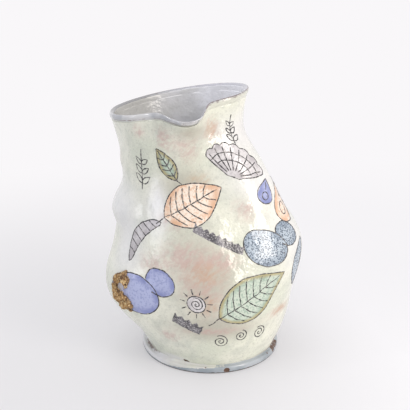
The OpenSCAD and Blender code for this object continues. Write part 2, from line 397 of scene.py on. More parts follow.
# motif, bearing, height in mm and turn in degrees. A bare oval is a chip through the glaze.
MOTIFS = [
    (veined_leaf("apricot", 62, 36), -6, 171, 26),
    (fan_shell("lilac", 30), 27, 193, -24),
    (ringed_drop("periwinkle", 24, 18), 46, 177, 62),
    (pebbles("stipple", 42, 34), 34, 127, -14),
    (ringed_drop("apricot", 44, 28), 60, 165, 64),
    (veined_leaf("sage", 80, 42, 7), 20, 83, 26),
    (banded_crescent("stipple", 50, 17, 11), 62, 101, 84),
    (saw_bar(46, 9, 8), 6, 139, -30),
    (banded_crescent("lilac", 54, 12, 10, 6), -46, 133, 48),
    (pebbles("periwinkle", 52, 40), -55, 83, -4),
    (saw_bar(28, 12, 4), -24, 59, -28),
    (rayed_spiral("lilac", 13), -16, 81, 0),
    (({"bare": [oval(14, 5, 14)]}, []), 53, 16, 62),
    (({"bare": [oval(8, 3.4, 14)]}, []), -32, 9.4, -24),
    (({"lilac": [oval(16, 10)]}, []), -64, 89, 70),
    (({}, [spiral(7.5, 2.3), spiral(6.5, 2.2) + [20, 3], spiral(7.5, 2.3) + [40, 0]]), -4, 39, 4),
    (sprig(38, 3), -50, 179, 82),
    (sprig(28, 3), 38, 219, 84),
    (veined_leaf("sage", 32, 15, 4), -24, 205, 118),
    (veined_leaf("sage", 62, 32), 122, 169, 118),
    (ringed_drop("apricot", 44, 28), 104, 89, 66),
    (pebbles("stipple", 40, 31), 142, 69, 30),
    (veined_leaf("apricot", 60, 32), -124, 165, 62),
    (banded_crescent("periwinkle", 54, 16, 12, 6), -108, 89, 100),
    (veined_leaf("sage", 64, 32), -150, 77, 28),
    (sprig(40), 150, 147, 82),
    (sprig(34), -142, 187, 92),
    (fan_shell("lilac", 26), 98, 127, 10),
    (rayed_spiral("lilac", 11), -166, 129, 0),
    (({}, [spiral(7, 2.3), spiral(6.5, 2.2) + [20, 2]]), -176, 37, 0),
    (saw_bar(44, 9, 8), 166, 101, 10),
]


def signed_distance(points, outline):
    """Each point's distance to the outline, which is negative inside it."""
    a, b = outline, np.roll(outline, -1, axis=0)
    nearest = np.full(len(points), np.inf)
    inside = np.zeros(len(points), bool)
    for p, way in zip(a, b - a):
        to = points - p
        share = np.clip(to @ way / max(way @ way, 1e-9), 0, 1)
        nearest = np.minimum(nearest, np.hypot(*(to - share[:, None] * way).T))
        if way[1] != 0:
            crosses = (p[1] > points[:, 1]) != (p[1] + way[1] > points[:, 1])
            inside ^= crosses & (to[:, 0] < way[0] * to[:, 1] / way[1])
    return np.where(inside, -nearest, nearest)


def degrees_from(bearing, others):
    """Returns how far round the others lie from a bearing, between -180 and 180 degrees."""
    return (others - bearing + 180) % 360 - 180


def bearings_of(spots):
    """Returns the bearings of points round the wall's middle line."""
    middle_x, middle_y = lean_middle(spots[:, 2])
    return np.degrees(np.arctan2(spots[:, 0] - middle_x, middle_y - spots[:, 1]))


spots = read(wall.data.vertices, "co")
bearings, heights = bearings_of(spots), spots[:, 2] / MM
# each vertex gets its distance to the nearest outline of every slip, up to 12 mm
FAR = 12.0
fills = {name: np.full(len(spots), FAR)
         for name in ("lilac", "apricot", "periwinkle", "stipple", "sage", "charcoal", "bare")}
strokes = []
for (colours, lines), bearing, height, turn in MOTIFS:
    radius = on_wall(bearing, height * MM)[2] / MM
    x = np.radians(degrees_from(bearing, bearings)) * radius
    local = spun(np.stack([x, heights - height], 1), -turn)
    for colour, outlines in colours.items():
        for outline in outlines:
            near = (np.abs(local - outline.mean(0)).max(1)
                    < np.abs(outline - outline.mean(0)).max() + FAR)
            apart = signed_distance(local[near], outline)
            fills[colour][near] = np.minimum(fills[colour][near], apart)
    for points in lines:
        across, up = spun(points, turn).T
        strokes.append((bearing + np.degrees(across / radius), (height + up) * MM))

# Soft washes where the glaze was rubbed pink or tan; where it lies thin and pale on the
# lobes, partly a painted highlight, and wholly one low on the left over the foot; darker
# on the front that faces the camera, as painted shade; and in the corner over the foot,
# a brown stain with painted shade: bearing, height, reach across and up, in degrees and mm
WASHES = {
    "blush": [(-46, 233, 6, 7), (-24, 229, 8, 12), (-4, 219, 12, 14), (20, 235, 8, 12),
              (-20, 125, 15, 14), (6, 121, 12, 10), (-10, 95, 15, 28), (-42, 115, 9, 9),
              (-22, 155, 12, 8), (-8, 51, 22, 4), (-40, 41, 8, 7), (44, 57, 14, 6),
              (30, 163, 8, 12), (110, 137, 14, 18), (-150, 117, 16, 20), (170, 57, 20, 16),
              (-100, 203, 16, 14)],
    "tan": [(-10, 80, 9, 10), (-8, 110, 12, 12), (18, 236, 7, 10), (46, 58, 12, 6),
            (2, 190, 10, 8), (150, 100, 14, 12)],
    # pale lobes, partly a painted highlight; the first entry, low on the left over the foot, is a
    # painted highlight
    "pale_and_highlight": [(-44, 11, 13, 4), (-84, 163, 30, 22), (-62, 123, 16, 34), (56, 127, 20, 34),
             (46, 187, 26, 24), (52, 229, 36, 20), (-34, 165, 10, 26), (128, 127, 24, 30),
             (-140, 147, 24, 30)],
    # painted shade on the front, which faces the camera
    "front_shade": [(-8, 109, 26, 46), (-6, 53, 34, 14), (-12, 183, 22, 22), (2, 235, 16, 9)],
    # a brown stain with painted shade in the corner over the foot
    "base_stain_and_shade": [(-80, 9, 13, 4), (60, 9, 30, 2)]}
for name, places in WASHES.items():
    fills[name] = np.zeros(len(spots))
    for bearing, height, across, up in places:
        apart = (degrees_from(bearing, bearings) / across) ** 2
        fills[name] += np.exp(-apart - ((heights - height) / up) ** 2)
mark(wall, fills)


def linear(code):
    """Turns an sRGB hex colour to Blender's linear one."""
    parts = [int(code[i:i + 2], 16) / 255 for i in (1, 3, 5)]
    return [p / 12.92 if p <= 0.04045 else ((p + 0.055) / 1.055) ** 2.4 for p in parts] + [1]


def add_node(owner, kind, inputs=(), out=0, **settings):
    """Adds a node with its settings and its inputs' values, hex colours or links.

    It returns the node's output of that name or number.
    """
    made = owner.node_tree.nodes.new("ShaderNode" + kind)
    for name, value in settings.items():
        setattr(made, name, value)
    for socket, value in dict(inputs).items():
        if isinstance(value, bpy.types.NodeSocket):
            owner.node_tree.links.new(value, made.inputs[socket])
        else:
            made.inputs[socket].default_value = linear(value) if isinstance(value, str) else value
    return made.outputs[out]


def add_math(owner, operation, *inputs):
    """Adds a calculation on numbers or links, and returns its result."""
    return add_node(owner, "Math", dict(enumerate(inputs)), operation=operation)


def add_clouds(material, place, *sizes, **inputs):
    """Adds noise of each size in mm, and returns it by size."""
    return {size: add_node(material, "TexNoise", {"Vector": place, "Scale": 1 / (size * MM),
                                                  **inputs}) for size in sizes}


def new_material(name, roughness):
    """Starts a material, and returns it with its shader and its place on the object."""
    made = bpy.data.materials.new(name)
    made.use_nodes = True
    shader = made.node_tree.nodes["Principled BSDF"]
    shader.inputs["Roughness"].default_value = roughness
    return made, shader, add_node(made, "TexCoord", out="Object")


def wash(material, colour, over, source, low, high, most=1.0):
    """Lays a second colour over the first as the source goes from low to high."""
    share = add_node(material, "MapRange", {0: source, 1: low, 2: high, 4: most},
                     interpolation_type="SMOOTHSTEP")
    return add_node(material, "Mix", {0: share, 6: colour, 7: over}, 2, data_type="RGBA")


def finish_glaze(material, shader, place, colour, peel):
    """Links a glaze's colour, and gives it its gloss, orange peel and throwing rings.

    The peel is 2.6 and 9 mm across, and the rings come every 21.7 mm, of a wave that has
    one every 2 pi / 20 at scale 1.
    """
    shader.inputs["IOR"].default_value = 1.6
    peels = add_clouds(material, place, 2.6, 9, Detail=1.0)
    rings = add_node(material, "TexWave", {"Vector": place, "Distortion": 3.0, "Detail": 2.0,
                                           "Scale": 2 * math.pi / 20 / (21.7 * MM)},
                     bands_direction="Z")
    height = add_math(material, "MULTIPLY_ADD", peels[9], 3.0, peels[2.6])
    height = add_math(material, "MULTIPLY_ADD", rings, 0.8, height)
    bump = add_node(material, "Bump", {"Strength": 1.0, "Distance": peel, "Height": height})
    material.node_tree.links.new(bump, shader.inputs["Normal"])
    material.node_tree.links.new(colour, shader.inputs["Base Color"])


# Celadon glaze over white slip, brushed and dipped: grey-green where it is thick, cream
# where it is thin, rubbed pink in places, with the coloured slips showing through it. Each
# slip has a deep and a thin colour, and a share of fine grain.
SLIPS = {"periwinkle": ("#8088ba", "#adb4d8", 0.5), "apricot": ("#d8ae8f", "#eee0d2", 0.7),
         "lilac": ("#b1acb0", "#d8d5d7", 0.5), "stipple": ("#94a2b2", "#b4c0cc", 0.0),
         "sage": ("#8fa698", "#c3cec1", 0.8), "charcoal": ("#3f3d42", "#7b787e", 0.0),
         "bare": ("#46332a", "#8a6c55", 0.8)}
celadon, shader, place = new_material("celadon_glaze", 0.15)
laid = {name: add_node(celadon, "Attribute", out="Fac", attribute_name=name) for name in fills}
# cloudy from 45 mm down to 2 mm, with fine pale grains
clouds = add_clouds(celadon, place, 45, 13, 5, 2, 1.2, Detail=3.0)
colour = wash(celadon, "#d0d4c5", "#e2e2d5", clouds[45], 0.35, 0.65)
colour = wash(celadon, colour, "#bec2b8", clouds[13], 0.42, 0.75, 0.55)
colour = wash(celadon, colour, "#b5b8ad", clouds[5], 0.52, 0.75, 0.4)
colour = wash(celadon, colour, "#a8aaa0", clouds[2], 0.52, 0.72, 0.35)
colour = wash(celadon, colour, "#f0f1ea", clouds[1.2], 0.48, 0.3, 0.3)
# painted shade on the front that faces the camera
colour = wash(celadon, colour, "#a6a195", laid["front_shade"], 0.0, 1.2, 0.7)
# pale lobes, partly a painted highlight, and a painted highlight low on the left over the foot
colour = wash(celadon, colour, "#e4e3e8", laid["pale_and_highlight"], 0.0, 1.2, 0.7)
# a brown stain with painted shade in the corner over the foot
colour = wash(celadon, colour, "#8a7c72", laid["base_stain_and_shade"], 0.0, 1.2, 0.8)
# the pink was rubbed on with a dry crayon in slanting strokes, 4 mm wide and 9 mm long
slant = add_node(celadon, "Mapping", {"Vector": place, "Rotation": (0.0, 0.9, 0.2),
                                      "Scale": (1.0, 1.0, 2.2)}, vector_type="TEXTURE")
rubbed = add_clouds(celadon, slant, 4, Detail=6.0, Roughness=0.7)[4]
rubbed = add_node(celadon, "MapRange", {0: rubbed, 1: 0.38, 2: 0.62, 3: 0.3})
for name, over in (("blush", "#bf9c98"), ("tan", "#bd9f83")):
    rub = add_math(celadon, "MULTIPLY", laid[name], rubbed)
    colour = wash(celadon, colour, over, rub, 0.0, 1.0, 0.6)
# a slip's edge wanders by half a millimetre, and the slip is thinner towards its middle.
# The stipple has dark dots 1.5 mm apart, the charcoal pale gaps, and the sage an ochre edge.
ragged = add_math(celadon, "MULTIPLY_ADD", clouds[5], 2.4, -1.2)
dots = add_node(celadon, "TexVoronoi", {"Vector": place, "Scale": 1 / (1.5 * MM)})
for name, (deep, thin, grain) in SLIPS.items():
    apart = add_math(celadon, "ADD", laid[name], ragged)
    slip = wash(celadon, deep, thin, clouds[13], 0.38, 0.66)
    slip = wash(celadon, thin, slip, apart, -9.0, -1.0)
    if name == "stipple":
        slip = wash(celadon, "#566273", slip, dots, 0.36, 0.54)
    elif name == "charcoal":
        slip = wash(celadon, slip, "#b5b2b4", clouds[1.2], 0.53, 0.62, 0.85)
    else:
        slip = wash(celadon, slip, deep, clouds[2], 0.49, 0.62, grain)
    if name == "sage":
        slip = wash(celadon, slip, "#ab9c6c", apart, -5.0, -1.0, 0.8)
    colour = wash(celadon, slip, colour, apart, -0.35, 0.35)
# specks of iron, about 30 mm apart
specks = add_node(celadon, "TexVoronoi", {"Vector": place, "Scale": 1 / (30 * MM)})
colour = wash(celadon, "#6d6259", colour, specks, 0.018, 0.028)
finish_glaze(celadon, shader, place, colour, 0.2 * MM)

# Grey-blue glaze poured inside: thinner, greyer and duller than the celadon. It is painted
# darker on the left and lighter on the right, as shade and light inside the neck
blue, shader, place = new_material("grey_blue_glaze", 0.2)
shader.inputs["Specular IOR Level"].default_value = 0.4
clouds = add_clouds(blue, place, 30, 4)
colour = wash(blue, "#d0d0d2", "#dcdce2", clouds[30], 0.35, 0.65)
# painted shade on the left and painted light on the right
across = add_node(blue, "SeparateXYZ", {0: place}, "X")
colour = wash(blue, "#cccbc7", colour, across, -60 * MM, -10 * MM)
colour = wash(blue, colour, "#eeeef6", across, -10 * MM, 40 * MM)
colour = wash(blue, colour, "#a8a5a7", clouds[4], 0.58, 0.75, 0.3)
finish_glaze(blue, shader, place, colour, 0.2 * MM)

wall.data.materials.append(celadon)
wall.data.materials.append(blue)
normals, centres = read(wall.data.polygons, "normal"), read(wall.data.polygons, "center")
middle_x, middle_y = lean_middle(centres[:, 2])
outwards = normals[:, 0] * (centres[:, 0] - middle_x) + normals[:, 1] * (centres[:, 1] - middle_y)
# the faces that look at the middle line have the glaze of the inside
wall.data.polygons.foreach_set("material_index", (outwards < 0).astype(np.int32))

# the skin is parted again at its seams, and each section's ends are closed
for index, node in enumerate(WALL_SECTIONS[:2]):
    own = np.zeros(len(wall.data.polygons), np.int32)
    wall.data.attributes["section"].data.foreach_get("value", own)
    select_only(wall)
    select_none("FACE")
    wall.data.polygons.foreach_set("select", own == index)
    with edit_mode():
        bpy.ops.mesh.separate(type="SELECTED")
    parted = next(obj for obj in bpy.context.selected_objects if obj != wall)
    parted.name = node + "_glazed"
wall.name = WALL_SECTIONS[2] + "_glazed"
for node in WALL_SECTIONS:
    section = bpy.data.objects[node + "_glazed"]
    select_only(section)
    low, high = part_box(node)
    for above in (False, True):
        select_none("EDGE")
        used = np.zeros(len(section.data.edges), int)
        loops = np.zeros(len(section.data.loops), int)
        section.data.loops.foreach_get("edge_index", loops)
        np.add.at(used, loops, 1)
        for edge in section.data.edges:
            # an edge of an open end belongs to one face
            height = section.data.vertices[edge.vertices[0]].co.z
            if used[edge.index] == 1 and (height > (low.z + high.z) / 2) == above:
                edge.select = True
        if any(edge.select for edge in section.data.edges):
            with edit_mode():
                bpy.ops.mesh.bridge_edge_loops()
    smooth(50)
    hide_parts(node)
    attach(section, "root")

# The charcoal lines, drawn on the dry slip with a soft crayon. Each is a thin thread of
# pencil that the glaze has half drowned, so it swells, thins and fades as it goes.
LINE_RADIUS = 0.82 * MM
LINE_DEPTH = 0.5 * MM
LINE_STEP = 1.4 * MM
LINE_WOBBLE = 0.28 * MM
LINE_SWELL = (0.74, 1.12)
MM_PER_DEGREE = 1.5
hand = np.random.default_rng(7)
drawn = bpy.data.curves.new("drawn_lines", "CURVE")
drawn.dimensions = "3D"
drawn.bevel_depth = LINE_RADIUS
drawn.bevel_resolution = 1
drawn.use_fill_caps = True
for stroke_bearings, stroke_heights in strokes:
    steps = np.hypot(np.diff(stroke_bearings) * MM_PER_DEGREE * MM, np.diff(stroke_heights))
    along = np.concatenate([[0], np.cumsum(steps)])
    count = max(3, int(along[-1] / LINE_STEP))
    even = np.linspace(0, along[-1], count + 1)
    bends = count // 4 + 2
    wobble = np.interp(even, np.linspace(0, along[-1], bends),
                       hand.normal(0, LINE_WOBBLE, bends))
    stroke_bearings = np.interp(even, along, stroke_bearings)
    stroke_heights = np.interp(even, along, stroke_heights) + wobble
    spline = drawn.splines.new("POLY")
    spline.points.add(count)
    for point, bearing, height in zip(spline.points, stroke_bearings, stroke_heights):
        spot, normal, _ = on_wall(bearing, height)
        point.co = (*(spot - normal * LINE_DEPTH), 1)
        point.radius = hand.uniform(*LINE_SWELL)
pencil = bpy.data.objects.new("drawn_lines", drawn)
bpy.context.collection.objects.link(pencil)
select_only(pencil)
bpy.ops.object.convert(target="MESH")
charcoal, shader, place = new_material("charcoal_pencil_under_glaze", 0.25)
smudge = add_clouds(charcoal, place, 2)[2]
colour = wash(charcoal, "#353438", "#8a8783", smudge, 0.48, 0.7)
charcoal.node_tree.links.new(colour, shader.inputs["Base Color"])
pencil.data.materials.append(charcoal)
bpy.ops.object.shade_smooth()
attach(pencil, "root")

# The rolled rim: a coil of clay on the neck's end, run round between wet fingers and dipped
# in the grey-blue glaze. The dip was slanting, so on the right it covers only the top. On
# the inside a wet sponge has wiped the coil flush with the neck.
RIM_STEP = 4
RIM_PLACES = 360 // RIM_STEP
# how far under the coil the neck is looked at, and from how far inside or outside it
DEEP_LOOK, SHALLOW_LOOK = 7 * MM, 2 * MM
NEAR_LOOK = 3 * MM
UNDER_LOOK = 1.5 * MM
FROM_INSIDE = -11 * MM
FROM_OUTSIDE = 12 * MM
# inside, the coil is wiped down over the neck, and flush with it but for this
INSIDE_PROUD = 0.2 * MM
FLUSH_UP_TO, FLUSH_FADE = 0.9, 0.3
WIPED_DOWN, WIPED_UP_TO = 1.6 * MM, 0.5
# its underside is smoothed to this over the neck's outside, and its inner edge is rounded
UNDER_PROUD = 0.3 * MM
UNDER_UP_TO, UNDER_FADE = 0.34, 0.14
ROUNDED_FROM, ROUNDED_BY = 0.7, 0.3
# the dip covers the bead on both sides of a bearing, in degrees, but not its underside
DIP_MIDDLE, DIP_REACH, DIP_FADE = -60, 70, 20
BARE_UNDER, BARE_FADE = 0.14, 0.06
rim = copy_of("rim_roll", "rim_roll_glazed")
weld(to_quads=True)
crease_and_subdivide(rim, levels=3, sharp_degrees=55)
spots = read(rim.data.vertices, "co")
turns = bearings_of(spots)
steps = np.round(turns / RIM_STEP).astype(int) % RIM_PLACES


def along_rim(values, which, start):
    """Returns the lowest or highest of the values round the rim, at each vertex's bearing."""
    ends = np.full(RIM_PLACES, start)
    which.at(ends, steps, values)
    return np.interp(turns, np.arange(RIM_PLACES) * RIM_STEP, ends, period=360)


def neck_from(vertex, side, height, start):
    """Returns how far along its side the neck's wall lies, met from start, at a height."""
    place = Vector((vertex.co.x, vertex.co.y, height)) + side * start
    way = side if start < 0 else -side
    return start - math.copysign(skin.ray_cast(place, way)[3], start)


lows = along_rim(spots[:, 2], np.minimum, 1.0)
rises = (spots[:, 2] - lows) / (along_rim(spots[:, 2], np.maximum, 0.0) - lows)
# the neck's own outside says which way each stretch of the coil faces, and its inside face,
# carried on upwards, is where the coil's distances are measured from
sides = []
outs = []
for vertex, low in zip(rim.data.vertices, lows):
    _, normal, face, _ = skin.find_nearest(Vector((vertex.co.x, vertex.co.y, low - NEAR_LOOK)))
    side = Vector((normal.x, normal.y, 0)).normalized() * np.sign(outwards[face])
    below, above = (neck_from(vertex, side, low - drop, FROM_INSIDE)
                    for drop in (DEEP_LOOK, SHALLOW_LOOK))
    slope = (above - below) / (DEEP_LOOK - SHALLOW_LOOK)
    sides.append(side)
    outs.append(-above - slope * (vertex.co.z - low + SHALLOW_LOOK))
outs = np.array(outs)
inners, outers = along_rim(outs, np.minimum, 1.0), along_rim(outs, np.maximum, -1.0)
faces_in = [vertex.normal.dot(side) < -0.05 for vertex, side in zip(rim.data.vertices, sides)]
for index, vertex in enumerate(rim.data.vertices):
    side, rise = sides[index], rises[index]
    inwards = (outers[index] - outs[index]) / (outers[index] - inners[index])
    out = outers[index] - inwards * (outers[index] + INSIDE_PROUD)
    if faces_in[index] and rise < FLUSH_UP_TO:
        # the coil is flush with the neck's inside face
        vertex.co.z -= WIPED_DOWN * max(0, 1 - rise / WIPED_UP_TO)
        out += min(1, (FLUSH_UP_TO - rise) / FLUSH_FADE) * (-INSIDE_PROUD - out)
    if rise < UNDER_UP_TO and not faces_in[index]:
        # its underside was smoothed into the neck, so the bead is 6 mm high
        face = outs[index] + neck_from(vertex, side, lows[index] - UNDER_LOOK, FROM_OUTSIDE)
        out += min(1, (UNDER_UP_TO - rise) / UNDER_FADE) * min(0, face + UNDER_PROUD - out)
    # wet fingers rounded the coil's inner edge
    rounding = min(1, max(0, (rise - ROUNDED_FROM) / (1 - ROUNDED_FROM)))
    out += ROUNDED_BY * rounding * rounding * max(0, outers[index] - out)
    vertex.co += side * (out - outs[index])
smooth(50)
normals = [vertex.normal.copy() for vertex in rim.data.vertices]
marks = {
    "outward": [normal.dot(side) for normal, side in zip(normals, sides)],
    "upward": [normal.z for normal in normals],
    # 1 where the dip covers the whole bead, 0 where only its top, and 0 under the bead
    "dipped": (np.clip((DIP_REACH - np.abs(turns - DIP_MIDDLE)) / DIP_FADE, 0, 1)
               * np.clip((rises - BARE_UNDER) / BARE_FADE, 0, 1))}
mark(rim, marks)
rim_glaze, shader, place = new_material("grey_blue_glaze_on_the_rim", 0.14)
outward, upward, dipped = (add_node(rim_glaze, "Attribute", out="Fac", attribute_name=name)
                           for name in marks)
clouds = add_clouds(rim_glaze, place, 20, 4)
colour = wash(rim_glaze, "#abadb2", "#c6c6c8", clouds[20], 0.38, 0.6)
# where the dip doesn't cover the bead, its side has the celadon's colour
covered = add_math(rim_glaze, "MULTIPLY_ADD", upward, 0.5, dipped)
colour = wash(rim_glaze, "#cbccc1", colour, covered, 0.0, 0.45)
# painted shade: the faces that look in are darker than the glaze, and darkest on the left
across = add_node(rim_glaze, "SeparateXYZ", {0: place}, "X")
inner_side_shade = wash(rim_glaze, "#8d8d8f", "#b2b2bc", across, -60 * MM, 20 * MM)
colour = wash(rim_glaze, inner_side_shade, colour, outward, 0.1, 0.5)
# a brown hairline marks the glaze's edge along the coil's top where the dip stops there.
# Under the coil, where the dip covers it, the faces that look down are painted brown: the
# glaze's edge there, with painted shade under the bead
over = add_math(rim_glaze, "SUBTRACT", outward, 0.35)
over = add_math(rim_glaze, "ABSOLUTE", over)
over = add_math(rim_glaze, "MULTIPLY_ADD", over, 0.5, dipped)
over = add_math(rim_glaze, "MULTIPLY_ADD", clouds[4], 0.5, over)
down = add_math(rim_glaze, "LESS_THAN", upward, 0.0)
over = add_math(rim_glaze, "ADD", over, down)
colour = wash(rim_glaze, "#75676a", colour, over, 0.4, 0.62)
underside_line_and_shade = add_math(rim_glaze, "MULTIPLY_ADD", clouds[4], 1.4, upward)
inside = add_math(rim_glaze, "LESS_THAN", outward, 0.2)
undipped = add_math(rim_glaze, "LESS_THAN", dipped, 0.5)
for elsewhere in (inside, undipped):
    underside_line_and_shade = add_math(rim_glaze, "ADD", underside_line_and_shade, elsewhere)
colour = wash(rim_glaze, "#8b7f79", colour, underside_line_and_shade, -0.12, 0.16)
finish_glaze(rim_glaze, shader, place, colour, 0.08 * MM)
rim.data.materials.append(rim_glaze)
rim.data.materials.append(blue)
# the faces that look straight in have the glaze of the inside
for face in rim.data.polygons:
    face.material_index = int(face.normal.dot(sides[face.vertices[0]]) < -0.85)
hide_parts("rim_roll")
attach(rim, "root")

# The turned foot: a ring cut from the base, 7 mm high, with its edges rounded by a sponge.
# The grey-blue dip runs up its outside, highest on the right, its lower edge was wiped bare
# and is painted darker as shade where it meets the table, and it is chipped in use down to
# the brown body. The first four sizes are the CAD's.
FOOT_RADIUS = 70 * MM
FOOT_LAND = 16 * MM
FOOT_ROUND = 2 * MM
WALL_BASE = 65.5 * MM
OUTER_BAND = 6 * MM
# rings on its top in mm, from the outside in, which give the cove its shape
TOP_RINGS = [2.5, 0.7, 0.7, 0.7, 0.7]
# the cove of slip under the wall, in mm: its reach and height, and what it has more of on
# the left, round that bearing
COVE_REACH, COVE_HEIGHT = 2.2, 1.2
LEFT_REACH, LEFT_HEIGHT = 2.6, 4.2
LEFT_BEARING, LEFT_SPREAD = -50, 20
# the groove over the cove, darkened by a brown stain and painted shade: its place and width
# in mm, its bearing and spread
GROOVE_SHADE_PLACE, GROOVE_SHADE_WIDTH = 0.4, 3
GROOVE_SHADE_BEARING, GROOVE_SHADE_SPREAD = -76, 30
# bearing, height and size in mm of each chip, and the height of the dip's edge by bearing
CHIPS = [(2, 3.4, 3.6), (55, 6.0, 4.8), (61, 7.0, 4.8), (66, 7.4, 4.4), (44, 6.6, 1.4),
         (-15, 6.8, 1.3), (96, 4.0, 3.0), (-118, 3.0, 3.2), (170, 5.0, 3.5)]
# how much wider than high a chip is, how steep its sides are, and its depth in mm
CHIP_WIDER, CHIP_STEEPNESS, CHIP_DEPTH = 1.3, 2.5, 0.9
DIP_BEARINGS = [-180, -100, -52, -38, -25, -11, 2, 15, 90, 180]
DIP_HEIGHTS = [6, 4, 2.2, 3.4, 5.2, 6.4, 7.0, 8.8, 9, 6]
bpy.ops.object.select_all(action="DESELECT")
bpy.ops.mesh.primitive_cylinder_add(vertices=256, radius=FOOT_RADIUS, depth=FOOT_HEIGHT,
                                    location=(0, 0, FOOT_HEIGHT / 2))
foot = bpy.context.object
foot.name = "foot_ring_glazed"
bpy.ops.object.transform_apply(location=True, rotation=True, scale=True)
select_none("FACE")
for face in foot.data.polygons:
    face.select = face.normal.z > 0.9
with edit_mode():
    for step in TOP_RINGS + [FOOT_LAND / MM - sum(TOP_RINGS)]:
        bpy.ops.mesh.inset(thickness=step * MM)
land = [face.index for face in foot.data.polygons if face.normal.z < -0.9]
hole = [face.index for face in foot.data.polygons if face.select]
select_none("FACE")
foot.data.polygons[land[0]].select = True
with edit_mode():
    bpy.ops.mesh.inset(thickness=FOOT_LAND)
foot.data.polygons[hole[0]].select = True
with edit_mode():
    bpy.ops.mesh.bridge_edge_loops()
select_none("EDGE")
with edit_mode():
    bpy.ops.mesh.edges_select_sharp(sharpness=math.radians(60))
    bpy.ops.mesh.bevel(offset=FOOT_ROUND, segments=4)
    bpy.ops.mesh.select_all(action="SELECT")
    bpy.ops.mesh.quads_convert_to_tris()
    bpy.ops.mesh.tris_convert_to_quads()
modify(foot, "SUBSURF", subdivision_type="SIMPLE", levels=1, render_levels=1)
marks = {name: np.zeros(len(foot.data.vertices)) for name in ("chipped", "groove", "dip")}
base_x, base_y = lean_middle(FOOT_HEIGHT)
for vertex in foot.data.vertices:
    x, y, z = vertex.co
    out = math.hypot(x, y)
    bearing = math.degrees(math.atan2(x, -y))
    marks["dip"][vertex.index] = np.interp(bearing, DIP_BEARINGS, DIP_HEIGHTS) - z / MM
    if out > FOOT_RADIUS - OUTER_BAND:
        if z > FOOT_HEIGHT - 0.1 * MM:
            # slip and glaze fill the corner under the wall with a cove, widest on the left
            gap = (math.hypot(x - base_x, y - base_y) - WALL_BASE) / MM
            left = math.exp(-((bearing - LEFT_BEARING) / LEFT_SPREAD) ** 2)
            cove = min(1, max(0, 1 - gap / (COVE_REACH + LEFT_REACH * left)))
            vertex.co.z += (COVE_HEIGHT + LEFT_HEIGHT * left) * MM * cove * cove
            marks["groove"][vertex.index] = (
                max(0, 1 - abs(gap - GROOVE_SHADE_PLACE) / GROOVE_SHADE_WIDTH)
                * max(0, 1 - abs((bearing - GROOVE_SHADE_BEARING) / GROOVE_SHADE_SPREAD)))
        for chip_bearing, chip_height, size in CHIPS:
            across = math.radians(degrees_from(chip_bearing, bearing)) * out / MM
            near = 1 - math.hypot(across, (z / MM - chip_height) * CHIP_WIDER,
                                  (FOOT_RADIUS - out) / MM) / size
            if near > 0:
                bite = min(1, near * CHIP_STEEPNESS)
                vertex.co.x -= x / out * bite * CHIP_DEPTH * MM
                vertex.co.y -= y / out * bite * CHIP_DEPTH * MM
                marks["chipped"][vertex.index] = bite
mark(foot, marks)
smooth(40)
foot_glaze, shader, place = new_material("grey_blue_glaze_with_chips", 0.16)
clouds = add_clouds(foot_glaze, place, 24, 3)
chipped, groove, dip = (add_node(foot_glaze, "Attribute", out="Fac", attribute_name=name)
                        for name in marks)
colour = wash(foot_glaze, "#929ca5", "#b2b9c1", clouds[24], 0.38, 0.66)
# over the dip's ragged edge it is white slip, whiter on the left, which is partly a painted
# highlight
dip = add_math(foot_glaze, "MULTIPLY_ADD", clouds[3], 2.5, dip)
pale_and_highlight = wash(foot_glaze, "#d2d2cf", "#d8d9cc", clouds[24], 0.4, 0.6)
across = add_node(foot_glaze, "SeparateXYZ", {0: place}, "X")
pale_and_highlight = wash(foot_glaze, "#e6e6ea", pale_and_highlight, across, -60 * MM, -44 * MM)
colour = wash(foot_glaze, pale_and_highlight, colour, dip, 0.9, 1.5)
# the wiped edge is the bare dark body, painted darker still as shade where the foot meets
# the table
low_height = add_node(foot_glaze, "SeparateXYZ", {0: place}, "Z")
ragged = add_math(foot_glaze, "MULTIPLY_ADD", clouds[3], 1.5 * MM, low_height)
colour = wash(foot_glaze, "#54504d", colour, ragged, 2.1 * MM, 3.0 * MM)
# a brown stain and painted shade in the groove over the cove
groove = add_math(foot_glaze, "MULTIPLY", groove, clouds[3])
colour = wash(foot_glaze, colour, "#7c7069", groove, 0.08, 0.3)
chipped = add_math(foot_glaze, "MULTIPLY_ADD", chipped, 1.5, -0.5)
chipped = add_math(foot_glaze, "ADD", chipped, clouds[3])
colour = wash(foot_glaze, colour, "#5d4232", chipped, 0.35, 0.7)
finish_glaze(foot_glaze, shader, place, colour, 0.08 * MM)
foot.data.materials.append(foot_glaze)
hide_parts("foot_ring")
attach(foot, "root")

# The floor: a slab luted to the foot, and a coil of clay worked into its corner with the
# wall, both glazed with the inside. They are widened by 1.2 %, which closes the half
# millimetre that the CAD leaves open, where soft clay fills the joint.
WIDENED = 1.012
for node in ("floor_disc", "floor_fillet"):
    slab = copy_of(node, node + "_glazed")
    low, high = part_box(node)
    middle = (low + high) / 2
    for vertex in slab.data.vertices:
        vertex.co.x = middle.x + (vertex.co.x - middle.x) * WIDENED
        vertex.co.y = middle.y + (vertex.co.y - middle.y) * WIDENED
    weld(to_quads=False)
    smooth(40)
    if node == "floor_disc":
        modify(slab, "WEIGHTED_NORMAL", weight=100)
    slab.data.materials.append(blue)
    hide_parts(node)
    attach(slab, "root")

